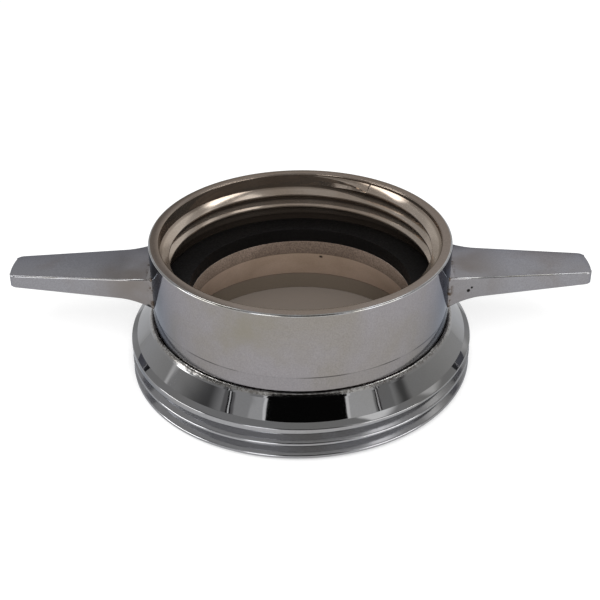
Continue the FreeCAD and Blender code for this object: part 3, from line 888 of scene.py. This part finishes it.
handle_metal, tree, look = plated(
    "handle_satin", (0.226, 0.224, 0.238), (0.2, 0.185, 0.182), 0.42, 0.14, 0.04, 0.09, 2.0, 0.0,
    fineness=1500.0, patches=30.0, edge=(0.5, 0.52, 0.58),
)
spot = use_group(tree, lathe_place)
near_ring = fade(tree, spot.outputs["Radius"], 0.0712, 0.0688)
marks = calc(tree, "MULTIPLY", near_ring, fade(tree, noise(tree, 420.0, 4.0), 0.46, 0.6))
pits = use_group(tree, casting_pits, {"Density": 160.0, "Share": 0.035})
# The handles grow darker and browner towards the ring, in patches.
darker_near_ring = calc(
    tree, "MULTIPLY", fade(tree, spot.outputs["Radius"], 0.099, 0.076, 0.0, 0.9),
    fade(tree, noise(tree, 38.0, 3.0), 0.38, 0.6, 0.35, 1.0),
)
lay_over(tree, look, darker_near_ring, (0.165, 0.148, 0.138))
lay_over(tree, look, marks, (0.07, 0.05, 0.035))
for place, reach in HANDLE_PITS:
    hole = fade(tree, distance_to(tree, place), reach * 1.5, reach)
    lay_over(tree, look, hole, (0.012, 0.011, 0.01))
lay_over(tree, look, pits.outputs[0], (0.03, 0.03, 0.03))
look["height"] = calc(
    tree, "SUBTRACT", look["height"],
    calc(tree, "MULTIPLY", calc(tree, "ADD", marks, pits.outputs[0]), 60 * MICRON),
)
look["roughness"] = calc(tree, "ADD", look["roughness"], calc(tree, "MULTIPLY", marks, 0.3))
finish_metal(tree, look)
print("finish", handle_metal.name)

# %% Rim and broken edges
rim_metal, tree, look = plated(
    "rim_warm", (0.205, 0.176, 0.158), (0.188, 0.158, 0.136), 0.45, 0.14, 0.04, 0.07, 1.0, 1.5,
    edge=(0.35, 0.33, 0.3),
)
finish_metal(tree, look)
# The broken edges of the lip and the handles are polished, and their lighter colour is a painted
# highlight.
edge_metal_painted_highlight, tree, look = plated(
    "edge_polished_painted_highlight", (0.33, 0.332, 0.345), (0.27, 0.26, 0.24), 0.5, 0.07, 0.03, 0.1, 1.5, 0.0,
    patches=90.0,
)
finish_metal(tree, look)
print("finishes", rim_metal.name, edge_metal_painted_highlight.name)

# %% Warm inside of the collar
inside_metal, tree, look = plated(
    "thread_warm", (0.36, 0.31, 0.265), (0.29, 0.235, 0.19), 0.45, 0.11, 0.03, 0.07, 0.8, 1.5,
    line_count=2600.0, edge=(0.6, 0.55, 0.5), metallic=0.78,
)
spot = use_group(tree, lathe_place)
# Painted shade: below the thread, the relief and the gasket's pocket are darkened almost to black.
lay_over(tree, look, fade(tree, spot.outputs["Height"], 0.0432, 0.0414), (0.035, 0.028, 0.024))
# Painted shade in the thread's roots, next to the ring's wall.
root_painted_shade = fade(tree, spot.outputs["Radius"], 0.0624, 0.0634, 0.0, 0.6)
lay_over(tree, look, root_painted_shade, (0.115, 0.088, 0.068))
finish_metal(tree, look)
print("finish", inside_metal.name)

# %% [markdown]
# ## The body's finishes
#
# The neck cone is polished, and shows the studio as a mirror does. Its upper edge and the shoulder
# under the collar were not reached by the polishing wheel: they are gritty and a little brown. The
# male thread is bright but shows the tool's rings. The waterway's flare is smooth and warm. Thin
# dark lines part it from the outlet, which is darkened with painted shade, and from the throat, which
# is left as cast.

# %% Mirror-bright neck
neck_metal, tree, look = plated(
    "neck_mirror", (0.24, 0.24, 0.246), (0.225, 0.222, 0.218), 0.45, 0.035, 0.012, 0.02, 0.25, 0.12,
)
spot = use_group(tree, lathe_place)
unpolished = fade(tree, spot.outputs["Height"], 0.0254, 0.0262)
grit = calc(tree, "MULTIPLY", unpolished, fade(tree, noise(tree, 900.0, 3.0), 0.4, 0.6))
lay_over(tree, look, unpolished, (0.29, 0.283, 0.275))
lay_over(tree, look, calc(tree, "MULTIPLY", grit, 0.6), (0.1, 0.088, 0.075))
look["roughness"] = calc(tree, "ADD", look["roughness"], calc(tree, "MULTIPLY", unpolished, 0.12))
look["height"] = calc(tree, "MULTIPLY_ADD", grit, 14 * MICRON, look["height"])
look["height"] = calc(tree, "MULTIPLY_ADD", noise(tree, 90.0, 1.0), 70 * MICRON, look["height"])
finish_metal(tree, look)
print("finish", neck_metal.name)

# %% Bright male thread
thread_metal, tree, look = plated(
    "thread_bright", (0.285, 0.285, 0.295), (0.25, 0.247, 0.245), 0.45, 0.14, 0.04, 0.05, 0.5, 1.0,
    line_count=2400.0, edge=(0.45, 0.47, 0.5),
)
finish_metal(tree, look)
print("finish", thread_metal.name)

# %% Smooth waterway
SEAM_HEIGHTS = (0.0088, 0.0250)

bore_metal, tree, look = plated(
    "bore_warm", (0.55, 0.42, 0.335), (0.44, 0.33, 0.25), 0.45, 0.34, 0.05, 0.06, 1.5, 1.5,
    edge=(0.8, 0.76, 0.72), metallic=0.25,
)
spot = use_group(tree, lathe_place)
pits = use_group(tree, casting_pits, {"Density": 190.0, "Share": 0.02})
lay_over(tree, look, pits.outputs[0], (0.03, 0.025, 0.02))
# Painted shade: the outlet below the flare is darkened.
outlet = fade(tree, spot.outputs["Height"], 0.0090, 0.0084, 0.0, 0.86)
lay_over(tree, look, outlet, (0.13, 0.112, 0.088))
for level in SEAM_HEIGHTS:
    distance = calc(tree, "ABSOLUTE", calc(tree, "SUBTRACT", spot.outputs["Height"], level))
    lay_over(tree, look, fade(tree, distance, 0.0003, 0.0001, 0.0, 0.75), (0.06, 0.045, 0.035))
look["height"] = calc(
    tree, "SUBTRACT", look["height"], calc(tree, "MULTIPLY", pits.outputs[0], 80 * MICRON),
)
finish_metal(tree, look)
print("finish", bore_metal.name)

# %% As-cast throat
throat_metal, tree, look = plated(
    "throat_cast", (0.3, 0.23, 0.185), (0.2, 0.15, 0.118), 0.5, 0.5, 0.06, 0.35, 26.0, 0.0,
    fineness=1500.0, edge=(0.8, 0.76, 0.72), metallic=0.2,
)
finish_metal(tree, look)
print("finish", throat_metal.name)

# %% [markdown]
# ## Which face has which finish
#
# Turned faces are told apart by where they are: by their distance from the axis and their height.

# %% Give the castings their finishes
def give_finishes(piece, finishes, choose):
    """Fills the material slots, and lets choose(radius, height, normal) pick one for each face."""
    piece.data.materials.clear()
    for finish in finishes:
        piece.data.materials.append(finish)
    counts = [0] * len(finishes)
    for face in piece.data.polygons:
        radius = math.hypot(face.center.x, face.center.y) / MM
        face.material_index = choose(radius, face.center.z / MM, face.normal)
        counts[face.material_index] += 1
    print(piece.name, dict(zip([finish.name for finish in finishes], counts)))


RING, HANDLE, INSIDE, RIM, EDGE = range(5)
NECK, THREAD, BORE, THROAT = range(4)
LIP_REACH = LIP_ROUND - 0.04


def collar_finish(radius, height, normal):
    """On the handles, faces that slope are broken edges."""
    if radius > COLLAR_RADIUS + 0.02:
        return EDGE if 0.25 < abs(normal.z) < 0.97 and radius > COLLAR_RADIUS + 3.3 else HANDLE
    if height > COLLAR_TOP - LIP_REACH and radius > COLLAR_RADIUS - LIP_REACH:
        return EDGE
    if height > COLLAR_TOP - 0.1:
        return RIM
    return INSIDE if radius < COLLAR_RADIUS - 1.1 else RING


def body_finish(radius, height, normal):
    """The waterway first, and then the outside from the top down."""
    if radius < THROAT_RADIUS + 0.1 and height > THROAT_FOOT:
        return THROAT
    if radius < BORE_RADIUS + 0.2 and height < THROAT_FOOT + 0.8:
        return BORE
    return NECK if height > FLANGE_HEIGHT - 0.3 else THREAD


give_finishes(
    collar, [ring_metal, handle_metal, inside_metal, rim_metal, edge_metal_painted_highlight], collar_finish,
)
give_finishes(body, [neck_metal, thread_metal, bore_metal, throat_metal], body_finish)

# %% [markdown]
# ## Gasket, balls and plug
#
# These stay as the CAD made them. The gasket is matt black rubber with a moulded grain, and the balls
# and the plug are plain steel.

# %% Rubber and steel
rubber = bpy.data.materials.new("gasket_rubber")
rubber.use_nodes = True
tree = rubber.node_tree
texture = use_group(tree, plate_grain, {"Fineness": 900.0})
shader = tree.nodes["Principled BSDF"]
relief = put(tree, "ShaderNodeBump", {
    "Height": calc(tree, "MULTIPLY", texture.outputs["Grain"], 20 * MICRON), "Distance": 1.0,
})
tree.links.new(
    blend(tree, texture.outputs["Cloud"], (0.002, 0.0018, 0.0018, 1), (0.0055, 0.005, 0.005, 1)),
    shader.inputs["Base Color"],
)
shader.inputs["Specular IOR Level"].default_value = 0.2
tree.links.new(
    fade(tree, texture.outputs["Grain"], 0.3, 0.7, 0.5, 0.7), shader.inputs["Roughness"],
)
tree.links.new(relief.outputs[0], shader.inputs["Normal"])

steel, tree, look = plated(
    "ball_steel", (0.42, 0.42, 0.43), (0.36, 0.35, 0.34), 0.4, 0.12, 0.04, 0.03, 0.4, 0.0,
)
finish_metal(tree, look)
plug_metal, tree, look = plated(
    "plug_steel", (0.33, 0.33, 0.33), (0.26, 0.25, 0.24), 0.5, 0.3, 0.05, 0.06, 2.0, 1.0,
)
finish_metal(tree, look)

for node_name, finish in (("gasket", rubber), ("race_balls", steel), ("ball_plug", plug_metal)):
    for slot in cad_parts[node_name].material_slots:
        slot.material = finish
    print(node_name, "has", finish.name)

# %% [markdown]
# ## The floor
#
# The ground of the picture is white. The floor is a pale matt plane under soft light, and what the
# camera and the metal see of it is lifted to white by a little emission, through the Light Path node.
# Under the adapter and inside its waterway nothing is lifted, and the ground there is painted a dark
# brown that stands for the shade and the warm light bounced inside the bore.

# %% Floor
FLOOR_SIZE = 6.0
GROUND_LIFT = 0.55

bpy.ops.object.select_all(action="DESELECT")
bpy.ops.mesh.primitive_plane_add(size=FLOOR_SIZE)
floor = bpy.context.object
floor.name = "floor"
floor_paint = bpy.data.materials.new("floor_paint")
floor_paint.use_nodes = True
tree = floor_paint.node_tree
shader = tree.nodes["Principled BSDF"]
shader.inputs["Roughness"].default_value = 0.9
shader.inputs["Specular IOR Level"].default_value = 0.0
shader.inputs["Emission Color"].default_value = (1, 1, 1, 1)
spot = use_group(tree, lathe_place)
ray = put(tree, "ShaderNodeLightPath")
seen = calc(tree, "MINIMUM", 1.0, calc(
    tree, "ADD", ray.outputs["Is Camera Ray"],
    calc(tree, "ADD", ray.outputs["Is Glossy Ray"], ray.outputs["Is Transmission Ray"]),
))
lift = fade(tree, spot.outputs["Radius"], 0.062, 0.086, 0.0, GROUND_LIFT)
# Painted shade: under the adapter and inside the bore the floor is a dark brown, fading to the pale
# floor outside.
painted_shade_fade = fade(tree, spot.outputs["Radius"], 0.059, 0.066)
tree.links.new(
    blend(tree, painted_shade_fade, (0.21, 0.18, 0.155, 1), (0.6, 0.6, 0.6, 1)), shader.inputs["Base Color"],
)
tree.links.new(calc(tree, "MULTIPLY", seen, lift), shader.inputs["Emission Strength"])
floor.data.materials.append(floor_paint)
print("floor", floor.dimensions[:])

# %% [markdown]
# ## The studio
#
# Chrome is photographed in a light tent: pale walls all round, a darker roof, and a slot that the
# camera looks through. The tent is painted on the world, by direction. Rough surfaces get one plain
# level of light from it, the camera sees white, and only the metal's reflections see the tent with
# its panels. Each panel is a patch of azimuth (0 is the front, positive to the right) and elevation.

# %% Group: tent_panel
tent_panel, given, result = start_group("tent_panel", [
    ("Azimuth", "Float", 0.0), ("Elevation", "Float", 0.0), ("Middle", "Float", 0.0),
    ("Half", "Float", 10.0), ("Low", "Float", 0.0), ("High", "Float", 30.0), ("Edge", "Float", 2.0),
], [("Share", "Float")])


def inside(tree, value, limit, edge):
    """One where value is well below limit, falling to zero at limit."""
    return fade(tree, value, limit, calc(tree, "SUBTRACT", limit, edge))


turn = calc(
    tent_panel, "WRAP", calc(tent_panel, "SUBTRACT", given.outputs["Azimuth"], given.outputs["Middle"]),
    180.0, -180.0,
)
middle_height = calc(
    tent_panel, "MULTIPLY", calc(tent_panel, "ADD", given.outputs["Low"], given.outputs["High"]), 0.5,
)
half_height = calc(
    tent_panel, "MULTIPLY",
    calc(tent_panel, "SUBTRACT", given.outputs["High"], given.outputs["Low"]), 0.5,
)
rise = calc(tent_panel, "SUBTRACT", given.outputs["Elevation"], middle_height)
share = calc(
    tent_panel, "MULTIPLY",
    inside(tent_panel, calc(tent_panel, "ABSOLUTE", turn), given.outputs["Half"], given.outputs["Edge"]),
    inside(tent_panel, calc(tent_panel, "ABSOLUTE", rise), half_height, given.outputs["Edge"]),
)
tent_panel.links.new(share, result.inputs["Share"])
print("group", tent_panel.name)

# %% Hang the panels
# name: (azimuth from, to, elevation from, to, soft edge, strength)
TENT_PANELS = {
    "roof_back": (106, 254, 48, 96, 10, 0.74),
    "back_wall": (128, 190, 12, 46, 6, 1.1),
    "back_wall_left": (190, 222, 12, 46, 8, 0.82),
    "low_back_wall": (136, 224, -8, 20, 8, 0.62),
    "left_flag": (-92, -56, 22, 56, 10, 0.15),
    "left_shadow": (-57, -48, 20, 58, 1.5, 0.3),
    "left_seam": (-53.6, -50.0, 20, 58, 0.8, 0.03),
    "left_seam_light": (-52.3, -51.2, 20, 58, 0.4, 1.6),
    "left_sheet": (-49, -36, 20, 62, 1.5, 0.72),
    "left_sheet_top": (-38, -24, 37.5, 64, 2.0, 1.0),
    "left_glow": (-99, -94.5, 10, 25, 2.0, 1.3),
    "right_sheet": (34, 53, 20, 64, 1.5, 1.08),
    "right_shadow": (52, 66, 20, 58, 1.5, 0.45),
    "right_seam": (53.4, 57.2, 20, 58, 0.8, 0.03),
    "right_seam_light": (54.8, 55.9, 20, 58, 0.4, 1.6),
    "right_flag": (66, 79, 16, 56, 6, 0.17),
    "right_softbox": (66, 100, 55, 72, 5, 1.9),
    "right_spill": (100, 120, 36, 52, 6, 1.3),
    "back_left_softbox": (-141, -114, 46, 71, 8, 8.5),
    "back_right_softbox": (109, 136, 48, 73, 9, 8.0),
    "left_low_box": (-96, -58, 1, 20, 4, 8.0),
    "front_left_low_box": (-36, -12, 1, 20, 5, 7.0),
    "right_low_box": (34, 76, 1, 20, 6, 7.0),
    "slot_frame": (-27.5, 35.5, 20, 66, 0.8, 1.7),
    "camera_slot": (-25.5, 33.0, 22, 64, 0.8, 0.006),
}

studio = bpy.data.worlds.new("studio")
bpy.context.scene.world = studio
studio.use_nodes = True
tree = studio.node_tree
direction = put(tree, "ShaderNodeSeparateXYZ", {
    0: put(tree, "ShaderNodeTexCoord").outputs["Generated"],
})
azimuth = calc(tree, "DEGREES", calc(
    tree, "ARCTAN2", direction.outputs[0], calc(tree, "MULTIPLY", direction.outputs[1], -1.0),
))
elevation = calc(tree, "DEGREES", calc(tree, "ARCSINE", direction.outputs[2]))
walls = fade(tree, elevation, 0, 30, 0.85, 0.56)
tent = calc(tree, "ADD", walls, fade(tree, elevation, 45, 75, 0.0, -0.04))
for name, (start, end, low, high, edge, strength) in TENT_PANELS.items():
    panel = use_group(tree, tent_panel, {
        "Azimuth": azimuth, "Elevation": elevation, "Middle": (start + end) / 2,
        "Half": (end - start) / 2, "Low": low, "High": high, "Edge": edge,
    })
    panel.label = name
    tent = calc(
        tree, "MULTIPLY_ADD", panel.outputs[0], calc(tree, "SUBTRACT", strength, tent), tent,
    )
print(len(TENT_PANELS), "panels")

# %% Send each kind of ray its part of the studio
PLAIN_LEVEL = 0.65
ray = put(tree, "ShaderNodeLightPath")
to_metal = put(tree, "ShaderNodeMix", {
    0: ray.outputs["Is Glossy Ray"], 2: PLAIN_LEVEL, 3: tent,
}).outputs[0]
to_all = put(tree, "ShaderNodeMix", {0: ray.outputs["Is Camera Ray"], 2: to_metal, 3: 1.0}).outputs[0]
background = tree.nodes["Background"]
background.inputs["Color"].default_value = (1, 1, 1, 1)
tree.links.new(to_all, background.inputs["Strength"])
bpy.context.scene.view_settings.view_transform = "Standard"
print("plain level", PLAIN_LEVEL)

# %% [markdown]
# ## One soft lamp
#
# A large soft lamp above the camera reaches into the waterway and lights its far wall. The metal's
# mirror image of the studio is already painted, so the lamp itself is hidden from reflections.

# %% Lamp
LAMP_PLACE = Vector((0.05, -0.87, 0.97))
lamp_data = bpy.data.lights.new("soft_lamp", "AREA")
lamp_data.shape = "DISK"
lamp_data.size = 0.8
lamp_data.energy = 11
lamp = bpy.data.objects.new("soft_lamp", lamp_data)
bpy.context.scene.collection.objects.link(lamp)
lamp.location = LAMP_PLACE
lamp.rotation_euler = LAMP_PLACE.to_track_quat("Z", "Y").to_euler()
lamp.visible_glossy = False
print("lamp", lamp_data.energy, "watt")
